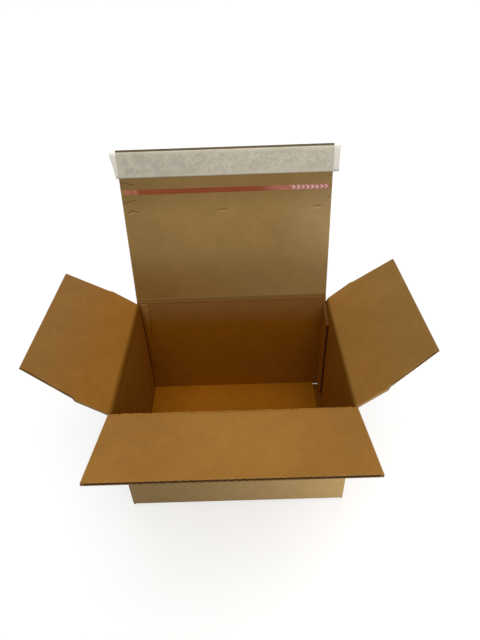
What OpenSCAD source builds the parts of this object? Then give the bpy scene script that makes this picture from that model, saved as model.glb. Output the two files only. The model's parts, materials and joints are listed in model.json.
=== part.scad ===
// Corrugated mailer box, standing open: a folded tube with a glued self-locking base,
// two dust flaps, a front flap and a lid with an adhesive strip and a tear tape.
// The origin is at the centre of the base, on the surface that the box stands on.
// X runs along the front wall, Y runs from the front wall to the lid, and Z is up.

/* [Box] */
// Outside width, along the front wall
box_w = 260; // [220:1:400]
// Outside depth, from the front wall to the back wall
box_d = 202; // [170:1:300]
// Height of the dust flaps' creases above the ground
side_h = 163; // [100:1:300]

/* [Board] */
// Thickness of the board
board_t = 3; // [2.6:0.1:4]
// Thickness of each facing sheet
facing_t = 0.35; // [0.25:0.05:0.5]
// Thickness of the waved sheet between the facings
wave_t = 0.3; // [0.2:0.05:0.4]
// Distance from one flute to the next
flute_pitch = 6.4; // [5.5:0.1:8]
// Width of the glue line where a flute tip meets a facing
bond_w = 1.8; // [1.2:0.1:2.4]
// Least board left at a side edge before the first flute
edge_margin = 0.8; // [0.5:0.1:3]

/* [Folds] */
// Length of crushed board beside a crease, where the flutes are pressed shut
crush_l = 5; // [4.8:0.1:10]
// Distance of a flap's fold axis outside its wall
axis_out = 0.15; // [0.1:0.05:0.3]
// Slack left in a crease between its wall and its flap
crease_gap = 0.3; // [0.2:0.05:0.6]
// Air between two plies that lie on each other
ply_gap = 0.2; // [0.1:0.05:0.5]
// Outside radius of a folded edge
fold_r = 1.5; // [0.5:0.1:2.4]

/* [Flaps] */
// Length of the front flap from its crease
front_flap_l = 101; // [50:1:160]
// Angle of the front flap outward from upright
front_open = 76.2; // [45:0.1:150]
// Gap at each side edge of the front flap and the lid
flap_side_gap = 0.5; // [0.3:0.1:3]
// Length of the dust flaps from their creases
dust_flap_l = 101; // [50:1:108]
// Gap between a closed dust flap and the walls beside it
dust_side_gap = 0.5; // [0.4:0.1:4]
// Length of the full-width root of a dust flap
dust_root_l = 38.5; // [10:0.5:45]
// Width that a dust flap loses in the step on its front side, above the root
dust_step_front = 2.5; // [1:0.5:8]
// Width that a dust flap loses in the step on its back side, above the root
dust_step_back = 2; // [1:0.5:8]
// Length of those steps
dust_step_l = 3.5; // [1:0.5:10]
// Width that a dust flap loses on each side from its root to its free edge, with the steps
dust_narrowing = 11.5; // [8:0.5:25]
// Angle of the left dust flap outward from upright
left_open = 53; // [45:0.5:150]
// Angle of the right dust flap outward from upright
right_open = 48.5; // [45:0.5:150]

/* [Lid] */
// Length of the lid from its crease
lid_l = 196; // [150:1:300]
// Angle that the lid leans back from upright
lid_open = 9.4; // [0:0.1:60]
// Distance from the lid's free edge to the release liner
liner_edge = 2; // [1:0.5:20]
// Width of the release liner
liner_w = 30; // [20:1:45]
// Thickness of the release liner
liner_t = 0.2; // [0.1:0.05:0.4]
// Width of the adhesive strip under the release liner
glue_w = 25; // [10:1:40]
// Thickness of the adhesive strip
glue_t = 0.15; // [0.1:0.05:0.3]
// Distance from the lid's free edge to the middle of the tear tape
tape_edge = 49; // [45:0.5:90]
// Width of the tear tape
tape_w = 6; // [3:0.5:10]
// Thickness of the tear tape
tape_t = 0.15; // [0.1:0.05:0.3]
// Height of the pull tab cut at the left end of the tear tape, at the lid's side edge
pull_h = 25.5; // [18:0.5:32]
// Length of the two cuts beside that pull tab
pull_cut_l = 17; // [5:0.5:30]
// Height that each of those cuts gains towards the tear tape, from the side edge to its inner end
pull_slant = 3.5; // [0:0.5:6]
// Length of the two starter cuts at the right end of the tear tape
end_cut_l = 5; // [2:0.5:15]
// Width of a cut
cut_w = 0.5; // [0.3:0.1:1]

/* [Base] */
// Length of each side base flap from its fold
side_base_l = 85; // [60:1:88]
// Length of a glued corner tab along the fold that it lies beside
corner_tab_l = 44; // [25:1:55]
// Size of the relief at a glued corner
corner_relief = 3; // [2:0.5:8]
// Gap between a base flap and a fold or wall that it isn't joined to
base_gap = 0.5; // [0.5:0.5:4]
// Gap beside each front and back base flap, at its glued corner
glued_side_gap = 9; // [6:0.5:20]
// Gap beside each front and back base flap, at its free corner
free_side_gap = 1; // [1:0.5:20]
// Width that such a flap loses beside its free corner, from its fold to its tip
free_side_taper = 8; // [4:0.5:20]
// Distance from the centre line to the edge of each short base half
short_back = 14; // [12:1:30]
// Overlap of each long base half on the short half that it meets
base_lap = 14; // [6:1:30]
// Length of the ramp that lifts a long half on to the short one
ramp_l = 9; // [6:1:12]
// Gap between a ramp and the edge that it climbs
ramp_gap = 1; // [0.5:0.5:3]
// Gap from each long half to the centre line
neck_gap = 1; // [0.5:0.5:4]
// Reach of each hook past the centre
hook_l = 10; // [4:1:20]
// Slant of each hook's outer end
hook_slant = 3; // [1:0.5:6]
// Depth of a pressed crease line
score_d = 0.5; // [0.2:0.1:1]

/* [Glued seam] */
// Width of the seam tab inside the right wall
seam_tab_w = 35; // [20:1:60]
// Height of the chamfer at each end of the seam tab
seam_chamfer = 12; // [4:1:25]
// Gap above and below the seam tab
seam_gap = 1; // [0.5:0.1:4]

/* [Hidden] */
$fn = 48;

kraft = [0.65, 0.46, 0.25];
kraft_light = [0.70, 0.52, 0.30];
paper_white = [0.84, 0.82, 0.76];
tape_red = [0.72, 0.20, 0.14];
glue_clear = [0.88, 0.86, 0.74];

overrun = 1;
inner_w = box_w - 2 * board_t;
inner_d = box_d - 2 * board_t;

// Each crease is one ply higher than the one that folds in before it.
front_h = side_h + board_t + crease_gap;
lid_h = front_h + board_t + crease_gap + glue_t + liner_t;
crease_cut = crease_gap / 2 + axis_out;

// The back panel ends one board short at the right, where the right wall covers the seam.
lid_w = box_w - board_t - 2 * flap_side_gap;
lid_shift = -board_t / 2;
front_flap_w = box_w - 2 * flap_side_gap;
dust_flap_w = inner_d - 2 * dust_side_gap;

// Levels of the three plies of the base
major_z = board_t + ply_gap;
tip_z = 2 * major_z;
ramp_end = short_back - ramp_gap;
ramp_start = ramp_end - ramp_l;

// Flute geometry
wave_rise = (board_t - 2 * facing_t - wave_t) / 2;
channel_half = (flute_pitch - bond_w) / 2;
channel_steps = 3;

// One channel on the inner side of the waved sheet, with its flat side on the inner facing
function channel_y(k) =
    abs(k) == channel_steps
        ? board_t - facing_t
        : board_t / 2 + wave_t / 2 - wave_rise * cos(360 * k / channel_steps * channel_half / flute_pitch);
function channel() =
    [for (k = [-channel_steps:channel_steps]) [k / channel_steps * channel_half, channel_y(k)]];

// Section of the corrugated board, with X across the flutes and the outer facing at Y = 0
module board_section(w) {
    count = floor((w - 2 * edge_margin) / flute_pitch);
    first = -(count - 1) / 2 * flute_pitch;
    difference() {
        translate([-w / 2, 0]) square([w, board_t]);
        for (i = [0:count - 1])
            translate([first + i * flute_pitch, 0]) polygon(channel());
        for (i = [0:count - 2])
            translate([first + (i + 0.5) * flute_pitch, board_t]) mirror([0, 1]) polygon(channel());
    }
}

// Runs a profile drawn as [Y, Z] along X, centred
module along_x(l) {
    translate([-l / 2, 0, 0]) rotate([90, 0, 90]) linear_extrude(l) children();
}

// A flap standing straight up from its crease, outer face at Y = 0, inner face towards +Y
module flap_panel(w, l) {
    root = [
        [0, crease_cut],
        [board_t, crease_cut + board_t],
        [board_t, crush_l],
        [0, crush_l]
    ];
    along_x(w) polygon(root);
    translate([0, 0, crush_l]) linear_extrude(l - crush_l) board_section(w);
}

// Places what stands on a crease: turn picks the wall, open is the angle outward from upright
module on_crease(turn, reach, height, open) {
    rotate([0, 0, turn])
        translate([0, -reach - axis_out, height])
            rotate([open, 0, 0])
                translate([0, axis_out, 0])
                    children();
}
module on_front() {
    on_crease(0, box_d / 2, front_h, front_open) children();
}
module on_back() {
    on_crease(180, box_d / 2, lid_h, lid_open) translate([-lid_shift, 0, 0]) children();
}
module on_left() {
    on_crease(-90, box_w / 2, side_h, left_open) children();
}
module on_right() {
    on_crease(90, box_w / 2, side_h, right_open) children();
}

// A dust flap, with its front side at +X: full width at its root, a step in, then a taper
module dust_panel() {
    root_x = dust_flap_w / 2;
    tip_x = root_x - dust_narrowing;
    step_z = dust_root_l + dust_step_l;
    outline = [
        [-root_x, 0],
        [root_x, 0],
        [root_x, dust_root_l],
        [root_x - dust_step_front, step_z],
        [tip_x, dust_flap_l],
        [-tip_x, dust_flap_l],
        [dust_step_back - root_x, step_z],
        [-root_x, dust_root_l]
    ];
    intersection() {
        flap_panel(dust_flap_w, dust_flap_l);
        translate([0, board_t + overrun, 0])
            rotate([90, 0, 0]) linear_extrude(board_t + 2 * overrun) polygon(outline);
    }
}

// A wall from its lower fold to a crease, bevelled on the inside so that the flap can close
module wall(l, bottom, crease) {
    top = crease - crease_cut;
    along_x(l)
        polygon([[0, bottom], [board_t, bottom], [board_t, top - board_t], [0, top]]);
}

// Takes the sharp corner off an outside fold that runs along X, at Y = 0 and the given height
module soften_fold(l, height) {
    translate([0, 0, height])
        along_x(l)
            difference() {
                translate([-overrun, -overrun]) square(fold_r + overrun);
                translate([fold_r, fold_r]) circle(fold_r);
            }
}

// Takes the sharp corner off an outside fold that stands at X = Y = 0
module soften_corner() {
    translate([0, 0, -overrun])
        linear_extrude(lid_h + 2 * overrun)
            difference() {
                translate([-overrun, -overrun]) square(fold_r + overrun);
                translate([fold_r, fold_r]) circle(fold_r);
            }
}

module front_wall() {
    difference() {
        translate([0, -box_d / 2, 0]) wall(box_w, major_z, front_h);
        translate([0, -box_d / 2, 0]) soften_fold(box_w + 2 * overrun, major_z);
        translate([-box_w / 2, -box_d / 2, 0]) soften_corner();
        translate([box_w / 2, -box_d / 2, 0]) rotate([0, 0, 90]) soften_corner();
    }
}

// The back wall turns into the seam tab one board short of the right side
module back_wall() {
    back_w = box_w - board_t;
    difference() {
        translate([-board_t / 2, box_d / 2, 0]) rotate([0, 0, 180]) wall(back_w, major_z, lid_h);
        translate([0, box_d / 2, 0]) rotate([0, 0, 180]) soften_fold(box_w + 2 * overrun, major_z);
        translate([-box_w / 2, box_d / 2, 0]) rotate([0, 0, -90]) soften_corner();
        translate([inner_w / 2, box_d / 2, 0]) rotate([0, 0, 180]) soften_corner();
    }
}

// Side walls reach the ground, and their lower strips stay between the front and back folds
module side_wall(turn, back_end) {
    front_end = box_d / 2;
    difference() {
        intersection() {
            rotate([0, 0, turn]) translate([0, -box_w / 2, 0]) wall(box_d, 0, side_h);
            union() {
                translate([-box_w, -front_end, major_z]) cube([2 * box_w, front_end + back_end, side_h]);
                translate([-box_w, -inner_d / 2, -overrun]) cube([2 * box_w, inner_d, major_z + 2 * overrun]);
            }
        }
        rotate([0, 0, turn]) translate([0, -box_w / 2, 0]) soften_fold(box_d + 2 * overrun, 0);
    }
}
module left_wall() {
    difference() {
        side_wall(-90, box_d / 2);
        translate([-box_w / 2, -box_d / 2, 0]) soften_corner();
        translate([-box_w / 2, box_d / 2, 0]) rotate([0, 0, -90]) soften_corner();
    }
}
module right_wall() {
    difference() {
        side_wall(90, box_d / 2 - seam_gap);
        translate([box_w / 2, -box_d / 2, 0]) rotate([0, 0, 90]) soften_corner();
    }
}

// The tab that turns in from the back wall and is glued to the inside of the right wall
module seam_tab() {
    top = side_h - crease_cut - board_t - seam_gap;
    bottom = major_z + board_t + seam_gap;
    back = inner_d / 2 + board_t - fold_r;
    front = inner_d / 2 - seam_tab_w;
    translate([inner_w / 2, 0, 0])
        rotate([0, 0, 180])
            rotate([90, 0, 90])
                linear_extrude(board_t)
                    polygon([
                        [-back, bottom],
                        [-front, bottom + seam_chamfer],
                        [-front, top - seam_chamfer],
                        [-back, top]
                    ]);
}

// Side base flap of the left wall: glued at the front corner, cut away at 45 degrees at the back one
module side_base_flap() {
    root_x = -inner_w / 2;
    tip_x = root_x + side_base_l;
    front_y = -inner_d / 2;
    free_y = inner_d / 2 - base_gap;
    outline = [
        [root_x, front_y + corner_relief + base_gap],
        [root_x + corner_relief, front_y + base_gap],
        [root_x + corner_tab_l, front_y + base_gap],
        [tip_x, front_y + side_base_l - corner_tab_l + base_gap],
        [tip_x, free_y - side_base_l],
        [root_x, free_y],
        [root_x - board_t / 2, free_y],
        [root_x - board_t / 2, front_y + corner_relief + base_gap]
    ];
    difference() {
        linear_extrude(board_t) polygon(outline);
        // The 45 degree crease from the glued corner, pressed in from below
        translate([root_x, front_y, 0])
            rotate([0, 0, 45])
                translate([corner_relief * 2, 0, 0])
                    rotate([90, 0, 90])
                        linear_extrude(box_w)
                            polygon([[-2 * score_d, -overrun], [-2 * score_d, 0], [0, score_d],
                                     [2 * score_d, 0], [2 * score_d, -overrun]]);
    }
}

// Glue between the corner tab and the base flap that it carries
module corner_glue() {
    x0 = -inner_w / 2 + glued_side_gap + base_gap;
    y0 = -inner_d / 2 + 2 * base_gap;
    x1 = -inner_w / 2 + corner_tab_l;
    translate([0, 0, board_t / 2])
        linear_extrude(board_t / 2 + ply_gap + board_t / 2)
            polygon([[x0 + base_gap, y0], [x1, y0], [x1, y0 + x1 - x0 - base_gap]]);
}

// Front base flap: its long half, on the left, climbs over the short half of the back one
module front_base_flap() {
    glued_x = -inner_w / 2 + glued_side_gap;
    free_x = inner_w / 2 - free_side_gap;
    fold_y = -inner_d / 2 - board_t / 2;
    tip_y = short_back + base_lap;
    translate([0, 0, major_z])
        linear_extrude(board_t)
            polygon([
                [glued_x, fold_y],
                [free_x, fold_y],
                [free_x, -inner_d / 4],
                [free_x - free_side_taper, -short_back],
                [-neck_gap, -short_back],
                [-neck_gap, ramp_start],
                [glued_x, ramp_start]
            ]);
    ramp_w = -neck_gap - glued_x;
    translate([glued_x + ramp_w / 2, 0, 0])
        along_x(ramp_w)
            polygon([
                [ramp_start, major_z],
                [ramp_end, tip_z],
                [ramp_end, tip_z + board_t],
                [ramp_start, major_z + board_t]
            ]);
    translate([0, 0, tip_z])
        linear_extrude(board_t)
            polygon([
                [glued_x, ramp_end],
                [-neck_gap, ramp_end],
                [-neck_gap, short_back],
                [hook_l, short_back + ramp_gap],
                [hook_l - hook_slant, tip_y],
                [glued_x + base_lap, tip_y],
                [glued_x, short_back]
            ]);
}

module base_half() {
    side_base_flap();
    corner_glue();
    front_base_flap();
}

module carcass() {
    color(kraft) {
        front_wall();
        back_wall();
        left_wall();
        right_wall();
        seam_tab();
        base_half();
        rotate([0, 0, 180]) base_half();
    }
}

module front_flap() {
    color(kraft_light) on_front() flap_panel(front_flap_w, front_flap_l);
}

module left_flap() {
    color(kraft_light) on_left() dust_panel();
}

module right_flap() {
    color(kraft_light) on_right() mirror([1, 0, 0]) dust_panel();
}

// A cut through the lid, from a side edge inwards, with its inner end higher by rise
module tear_cut(side, l, z, rise) {
    edge_x = side * lid_w / 2;
    inner_x = side * (lid_w / 2 - l);
    outer_x = side * (lid_w / 2 + overrun);
    half = cut_w / 2;
    translate([0, board_t + overrun, z])
        rotate([90, 0, 0])
            linear_extrude(board_t + 2 * overrun)
                polygon([
                    [outer_x, -half],
                    [edge_x, -half],
                    [inner_x, rise - half],
                    [inner_x, rise + half],
                    [edge_x, half],
                    [outer_x, half]
                ]);
}

module lid() {
    tape_z = lid_l - tape_edge;
    color(kraft_light)
        on_back()
            difference() {
                flap_panel(lid_w, lid_l);
                for (end = [-1, 1]) {
                    z = tape_z + end * pull_h / 2;
                    tear_cut(1, pull_cut_l, z, -end * pull_slant);
                    tear_cut(-1, end_cut_l, z, 0);
                }
            }
}

// A strip on the lid's inner face, laid on what is already there
module lid_strip(w, edge, under, t) {
    translate([-lid_w / 2, board_t + under, lid_l - edge - w]) cube([lid_w, t, w]);
}

module adhesive_strip() {
    color(glue_clear) on_back() lid_strip(glue_w, liner_edge + (liner_w - glue_w) / 2, 0, glue_t);
}

module release_liner() {
    color(paper_white) on_back() lid_strip(liner_w, liner_edge, glue_t, liner_t);
}

module tear_tape() {
    color(tape_red) on_back() lid_strip(tape_w, tape_edge - tape_w / 2, 0, tape_t);
}

carcass();
lid();
front_flap();
left_flap();
right_flap();
adhesive_strip();
release_liner();
tear_tape();
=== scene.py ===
# %% [markdown]
# # An open mailer box in corrugated board
# A mailer box is one sheet of corrugated board that is cut, creased, folded and glued. This lesson dresses
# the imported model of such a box. The exact solids stay as they are, and get kraft paper finishes. What a
# solid can't show is added: the crushed board in each crease, the puffed-up facing beside a corner, and
# the release paper with its loose tails.

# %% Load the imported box
import json
import math
import random

import bmesh
import bpy
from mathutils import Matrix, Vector


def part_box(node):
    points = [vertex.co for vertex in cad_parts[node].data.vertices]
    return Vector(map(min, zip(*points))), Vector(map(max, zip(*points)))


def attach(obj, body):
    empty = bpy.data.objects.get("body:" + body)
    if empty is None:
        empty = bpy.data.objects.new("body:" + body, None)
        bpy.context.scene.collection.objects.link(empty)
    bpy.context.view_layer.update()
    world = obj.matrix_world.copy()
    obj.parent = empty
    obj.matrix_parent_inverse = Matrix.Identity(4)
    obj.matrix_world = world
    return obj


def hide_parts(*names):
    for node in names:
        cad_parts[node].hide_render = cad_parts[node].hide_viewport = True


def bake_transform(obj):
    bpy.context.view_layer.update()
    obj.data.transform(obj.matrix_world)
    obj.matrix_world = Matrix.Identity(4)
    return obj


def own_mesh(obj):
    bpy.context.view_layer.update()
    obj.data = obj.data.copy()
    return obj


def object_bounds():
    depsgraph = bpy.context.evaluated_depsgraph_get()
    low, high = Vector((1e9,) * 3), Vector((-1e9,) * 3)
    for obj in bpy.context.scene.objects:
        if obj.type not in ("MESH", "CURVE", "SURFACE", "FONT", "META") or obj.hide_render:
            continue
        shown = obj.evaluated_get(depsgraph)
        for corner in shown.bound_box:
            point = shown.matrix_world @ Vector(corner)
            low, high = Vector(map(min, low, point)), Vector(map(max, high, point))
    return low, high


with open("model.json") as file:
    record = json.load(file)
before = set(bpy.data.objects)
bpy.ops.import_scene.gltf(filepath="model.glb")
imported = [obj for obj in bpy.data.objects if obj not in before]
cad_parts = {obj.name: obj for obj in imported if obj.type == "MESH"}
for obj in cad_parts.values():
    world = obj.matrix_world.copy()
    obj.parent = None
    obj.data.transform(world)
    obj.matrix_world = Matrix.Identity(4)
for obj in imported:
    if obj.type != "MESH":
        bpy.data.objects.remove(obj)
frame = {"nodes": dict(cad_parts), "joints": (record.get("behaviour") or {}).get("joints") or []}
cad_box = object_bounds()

print("box from", [round(v, 4) for v in cad_box[0]], "to", [round(v, 4) for v in cad_box[1]])

# %% [markdown]
# ## The view
# The camera stands in front of the box, higher than the top of its open lid, and looks down into it. Its
# place was found by fitting the box's corners to where they appear, so it is written as plain numbers.

# %% Place the camera
camera_data = bpy.data.cameras.new("camera")
camera_data.lens = 27.60
camera_data.sensor_width = 36
camera = bpy.data.objects.new("camera", camera_data)
camera.location = (0.01459, -0.44417, 0.55542)
camera.rotation_euler = [math.radians(angle) for angle in (52.0717, 1.7159, -0.7735)]
bpy.context.scene.collection.objects.link(camera)
bpy.context.scene.camera = camera
bpy.context.scene.view_settings.view_transform = "Standard"
print("camera at", [round(v, 3) for v in camera.location])

# %% [markdown]
# ## Helpers for shader nodes
# A shader is a graph. Small helpers keep the cells short: feed sets a socket to a value or links it to
# another socket, and calc adds a Math node and gives back its result. The commonest sums get short names.

# %% Short ways to wire nodes
def feed(tree, socket, value):
    if isinstance(value, bpy.types.NodeSocket):
        tree.links.new(value, socket)
    else:
        socket.default_value = value


def calc(tree, operation, *values, clamp=False):
    node = tree.nodes.new("ShaderNodeMath")
    node.operation = operation
    node.use_clamp = clamp
    for socket, value in zip(node.inputs, values):
        feed(tree, socket, value)
    return node.outputs[0]


def plus(tree, a, b):
    return calc(tree, "ADD", a, b)


def minus(tree, a, b):
    return calc(tree, "SUBTRACT", a, b)


def times(tree, a, b):
    return calc(tree, "MULTIPLY", a, b)


def size_of(tree, a):
    return calc(tree, "ABSOLUTE", a)


def vector_calc(tree, operation, *values, output=0):
    node = tree.nodes.new("ShaderNodeVectorMath")
    node.operation = operation
    for socket, value in zip(node.inputs, values):
        feed(tree, socket, value)
    return node.outputs[output]


def dot(tree, a, b):
    return vector_calc(tree, "DOT_PRODUCT", a, b, output="Value")


print("helpers ready: feed, calc, its short forms, vector_calc, dot")

# %% [markdown]
# Noise is the raw stuff of paper. Masks come from it through a Map Range node, which turns a narrow band
# of the noise into a soft step from 0 to 1. Colours are blended by a Mix node.

# %% Short ways to make noise, masks and blends
def noise(tree, vector, scale, detail=2.0, roughness=0.5, distortion=0.0):
    node = tree.nodes.new("ShaderNodeTexNoise")
    feed(tree, node.inputs["Vector"], vector)
    feed(tree, node.inputs["Scale"], scale)
    node.inputs["Detail"].default_value = detail
    node.inputs["Roughness"].default_value = roughness
    node.inputs["Distortion"].default_value = distortion
    return node.outputs["Fac"]


def step(tree, value, low, high, to_low=0.0, to_high=1.0):
    node = tree.nodes.new("ShaderNodeMapRange")
    node.interpolation_type = "SMOOTHSTEP"
    for name, entry in (("Value", value), ("From Min", low), ("From Max", high),
                        ("To Min", to_low), ("To Max", to_high)):
        feed(tree, node.inputs[name], entry)
    return node.outputs["Result"]


def blend_colour(tree, mask, a, b, mode="MIX"):
    node = tree.nodes.new("ShaderNodeMix")
    node.data_type = "RGBA"
    node.blend_type = mode
    feed(tree, node.inputs["Factor"], mask)
    feed(tree, node.inputs["A"], a if not isinstance(a, tuple) else (*a, 1))
    feed(tree, node.inputs["B"], b if not isinstance(b, tuple) else (*b, 1))
    return node.outputs["Result"]


def split(tree, vector):
    node = tree.nodes.new("ShaderNodeSeparateXYZ")
    feed(tree, node.inputs[0], vector)
    return node.outputs[0], node.outputs[1], node.outputs[2]


def join(tree, x, y, z=0.0):
    node = tree.nodes.new("ShaderNodeCombineXYZ")
    for socket, value in zip(node.inputs, (x, y, z)):
        feed(tree, socket, value)
    return node.outputs[0]


print("helpers ready: noise, step, blend_colour, split, join")


# %% Start a node group, and place one
def new_group(name, inputs, outputs):
    group = bpy.data.node_groups.new(name, "ShaderNodeTree")
    for label, kind, value in inputs:
        socket = group.interface.new_socket(label, in_out="INPUT", socket_type="NodeSocket" + kind)
        if value is not None:
            socket.default_value = value
    for label, kind in outputs:
        group.interface.new_socket(label, in_out="OUTPUT", socket_type="NodeSocket" + kind)
    start = group.nodes.new("NodeGroupInput").outputs
    end = group.nodes.new("NodeGroupOutput").inputs
    return group, start, end


def place_group(tree, group, **values):
    node = tree.nodes.new("ShaderNodeGroup")
    node.node_tree = group
    for name, value in values.items():
        feed(tree, node.inputs[name.replace("_", " ").title()], value)
    return node.outputs


print("helpers ready: new_group, place_group")

# %% [markdown]
# ## The light
# Kraft board is matt, so its look depends on soft light from all round. The world gives some of that, and
# wide soft suns from above, from the front and from behind give most of the rest, at a level where a
# colour renders about as it is written. Suns light the whole floor alike. A small lamp low on the right makes
# the front wall brighter on that side, under the shade of its flap. The backdrop is white for rays from
# the camera, and for those off a glossy surface or through a clear one. That white doesn't light the box.

# %% Tell the rays that show a surface from those that light it
def seen_ray(tree):
    path = tree.nodes.new("ShaderNodeLightPath")
    seen = calc(tree, "MAXIMUM", path.outputs["Is Camera Ray"], path.outputs["Is Glossy Ray"])
    return calc(tree, "MAXIMUM", seen, path.outputs["Is Transmission Ray"])


def grey_node(tree, kind, grey, strength=None):
    node = tree.nodes.new("ShaderNode" + kind)
    node.inputs["Color"].default_value = (grey, grey, grey, 1)
    if strength is not None:
        node.inputs["Strength"].default_value = strength
    return node


def lit_and_seen(tree, lit, seen, output):
    mix = tree.nodes.new("ShaderNodeMixShader")
    for socket, source in zip(mix.inputs, (seen_ray(tree), lit.outputs[0], seen.outputs[0])):
        tree.links.new(source, socket)
    tree.links.new(mix.outputs[0], tree.nodes.new("ShaderNodeOutput" + output).inputs["Surface"])


print("helpers ready: seen_ray, grey_node, lit_and_seen")

# %% Light the world
world = bpy.data.worlds.new("soft_room")
bpy.context.scene.world = world
world.use_nodes = True
tree = world.node_tree
tree.nodes.clear()
room = grey_node(tree, "Background", 1.0, 0.14)
backdrop = grey_node(tree, "Background", 1.0, 1.0)
lit_and_seen(tree, room, backdrop, "World")
print("world light strength", room.inputs["Strength"].default_value)


# %% Hang the lamps
def aim(lamp, towards):
    lamp.rotation_euler = Vector(towards).to_track_quat("-Z", "Y").to_euler()
    bpy.context.scene.collection.objects.link(lamp)


def soft_sun(name, towards, spread, strength, colour):
    data = bpy.data.lights.new(name, "SUN")
    data.angle = math.radians(spread)
    data.energy = strength
    data.color = colour
    aim(bpy.data.objects.new(name, data), towards)
    print(name, "shines towards", towards, "with strength", strength)


def side_lamp(name, place, target, size, power, colour):
    data = bpy.data.lights.new(name, "AREA")
    data.shape = "DISK"
    data.size = size
    data.energy = power
    data.color = colour
    lamp = bpy.data.objects.new(name, data)
    lamp.location = place
    lamp.visible_camera = False
    aim(lamp, Vector(target) - Vector(place))
    print(name, "at", place, "with", power, "W")


LAMP_WHITE = (1.0, 1.0, 1.0)
WINDOW_WHITE = (1.0, 0.99, 0.93)
soft_sun("ceiling", (0.0, 0.15, -1.0), 60, 1.60, LAMP_WHITE)
soft_sun("window", (-0.15, 0.75, -0.65), 60, 0.75, WINDOW_WHITE)
soft_sun("rear_fill", (0.1, -0.9, -0.45), 60, 0.95, LAMP_WHITE)
side_lamp("low_lamp", (0.28, -0.31, 0.045), (0.10, -0.10, 0.05), 0.15, 0.72, WINDOW_WHITE)

# %% [markdown]
# ## The floor
# The box stands on a plain pale floor. To other surfaces it is a matt pale grey, which throws light up at the
# box. To the camera part of it is its own white and part is the light that falls on it, so it is as
# white as the backdrop and still darkens a little where the box shades it.

# %% Lay the floor
floor_mesh = bpy.data.meshes.new("floor")
half_floor = 6.0
floor_drop = 0.0003
floor_z = cad_box[0][2] - floor_drop
corners = [(x * half_floor, y * half_floor, floor_z) for x, y in ((-1, -1), (1, -1), (1, 1), (-1, 1))]
floor_mesh.from_pydata(corners, [], [(0, 1, 2, 3)])
floor = bpy.data.objects.new("floor", floor_mesh)
bpy.context.scene.collection.objects.link(floor)

floor_paint = bpy.data.materials.new("pale_floor")
floor_paint.use_nodes = True
tree = floor_paint.node_tree
tree.nodes.clear()
shaded = grey_node(tree, "BsdfDiffuse", 0.40)
own_white = grey_node(tree, "Emission", 1.0, 0.66)
both = tree.nodes.new("ShaderNodeAddShader")
tree.links.new(shaded.outputs[0], both.inputs[0])
tree.links.new(own_white.outputs[0], both.inputs[1])
bounce = grey_node(tree, "BsdfDiffuse", 0.70)
lit_and_seen(tree, bounce, both, "Material")
floor_mesh.materials.append(floor_paint)
print("floor at", round(floor_z, 4))

# %% [markdown]
# ## Where things are on the board
# Every flap is the same thing: a sheet with its flutes running from the crease to the free edge. So each
# flap gets its own frame, in which a point is so far across the flutes, so far along them from the crease
# and so deep from the outer facing. The frame comes from the flap's hinge: at its closed limit a flap lies
# flat on the box, so that limit less a right angle is how far the flap leans out at rest.

# %% Work out the frame of each flap
BOARD = 0.003
AXIS_OUT = 0.00015
PITCH = 0.0064

joints = {joint["child"]: joint for joint in frame["joints"]}
outward = {"lid": Vector((0, 1, 0)), "front_flap": Vector((0, -1, 0)),
           "left_flap": Vector((-1, 0, 0)), "right_flap": Vector((1, 0, 0))}
flap_frames = {}
for name, out in outward.items():
    lean = math.radians(-joints[name]["range_deg"][0] - 90)
    up = Vector((0, 0, 1))
    across = Vector((abs(out.y), abs(out.x), 0))
    along = out * math.sin(lean) + up * math.cos(lean)
    inward = up * math.sin(lean) - out * math.cos(lean)
    low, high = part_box(name)
    hinge = Vector(joints[name]["pos_m"])
    middle = across.dot((Vector(low) + Vector(high)) / 2)
    width = across.dot(Vector(high) - Vector(low))
    origin = hinge - across * across.dot(hinge) + across * middle + inward * AXIS_OUT
    flap_frames[name] = {"origin": origin, "across": across, "along": along, "inward": inward,
                         "out": out, "lean": lean, "width": width, "hinge": hinge, "middle": middle}
    print(name, "leans out", round(math.degrees(lean), 1), "degrees, width", round(width * 1000, 1), "mm")


def on_flap(name, a, l, d):
    place = flap_frames[name]
    return place["origin"] + place["across"] * a + place["along"] * l + place["inward"] * d


# %% [markdown]
# ## Shader groups for board
# The first group gives a material those same three measures, and says which facing it is on. The dot product
# of the surface's normal with the flap's inward direction is 1 on the inner facing, -1 on the outer one
# and 0 on a cut edge.

# %% Group: place on a flap
flap_place, start, end = new_group(
    "flap_place",
    [("Position", "Vector", None), ("Normal", "Vector", None), ("Origin", "Vector", None),
     ("Across", "Vector", None), ("Along", "Vector", None), ("Inward", "Vector", None)],
    [("Board", "Vector"), ("Outer", "Float"), ("Cut", "Float")])
offset = vector_calc(flap_place, "SUBTRACT", start["Position"], start["Origin"])
feed(flap_place, end["Board"], join(flap_place, dot(flap_place, offset, start["Across"]),
                                    dot(flap_place, offset, start["Along"]),
                                    dot(flap_place, offset, start["Inward"])))
SQUARE_ON = 0.6
facing = dot(flap_place, start["Normal"], start["Inward"])
feed(flap_place, end["Outer"], calc(flap_place, "LESS_THAN", facing, -SQUARE_ON))
feed(flap_place, end["Cut"], calc(flap_place, "LESS_THAN", size_of(flap_place, facing), SQUARE_ON))
print("group", flap_place.name, "with", len(flap_place.nodes), "nodes")

# %% [markdown]
# The carcass has walls that face four ways and a base in three plies, so it needs its own rule. Flutes stand
# upright in the walls. In the base they run from each wall's fold to the middle, so the lowest ply, which
# belongs to the side walls, has them along X and the others along Y. A wall's face is an outer one where
# its normal points away from the middle of the box, and a base ply's where it points down. An upright face
# that stands well inside the walls is a cut edge, either the seam tab's or a base flap's.

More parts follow.
